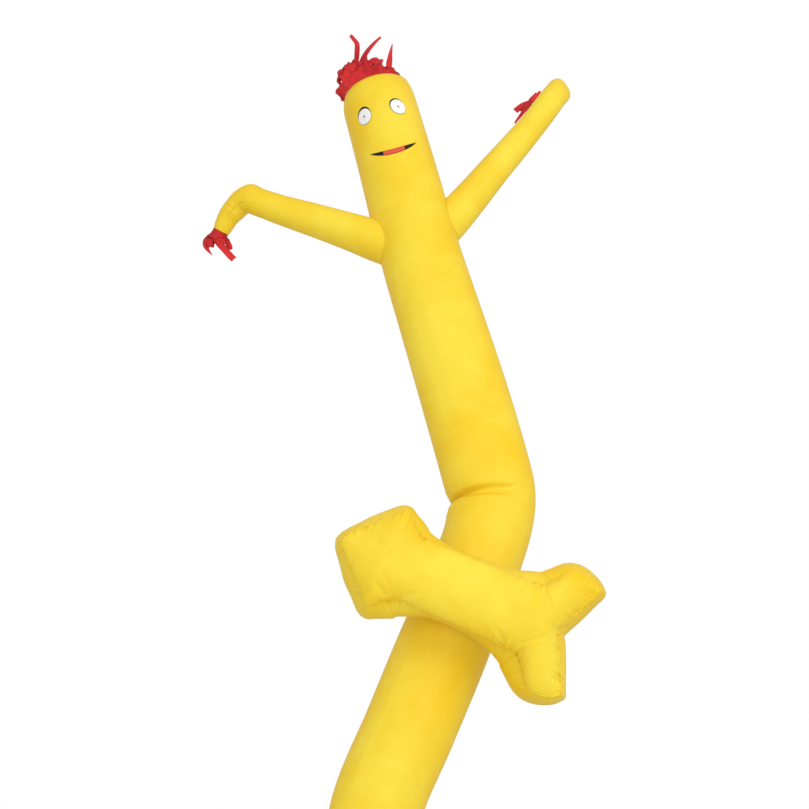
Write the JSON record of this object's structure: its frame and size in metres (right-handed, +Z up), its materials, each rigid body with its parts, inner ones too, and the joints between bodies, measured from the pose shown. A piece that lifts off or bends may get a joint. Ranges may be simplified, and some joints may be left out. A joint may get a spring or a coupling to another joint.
{
  "type": "inflatable air dancer",
  "caption": "Tall yellow cloth tube figure that a fan blows upright, with a kinked body, an appliqued face, two arms, red fringe hair and hands, and a boxed arrow across its front.",
  "frame": {"origin": "on the floor, under the middle of the whole figure's box; the open base hem's centre stands 0.153 m to its right and 0.039 m behind it", "axes": "+Z up along the figure's height, -Y the way the face and the arrow look, +X to the right as seen from the front"},
  "size_m": [2.2354, 1.1007, 5.8345],
  "materials": {
    "yellow_nylon": "coated ripstop with a soft sheen",
    "red_nylon": "coated ripstop with a soft sheen",
    "black_nylon": "matte cloth",
    "white_nylon": "matte cloth",
    "grey_nylon": "matte cloth"
  },
  "bodies": {
    "root": {"body_tube": "yellow_nylon", "left_arm": "yellow_nylon", "right_arm": "yellow_nylon", "arrow_front": "yellow_nylon", "arrow_gusset": "yellow_nylon", "arrow_back": "yellow_nylon", "hair_fringe": "red_nylon", "left_hand_fringe": "red_nylon", "right_hand_fringe": "red_nylon", "left_eye_black": "black_nylon", "left_eye_white": "white_nylon", "left_eye_pupil": "grey_nylon", "right_eye_black": "black_nylon", "right_eye_white": "white_nylon", "right_eye_pupil": "grey_nylon", "mouth_black": "black_nylon", "mouth_red": "red_nylon"}
  },
  "joints": []
}
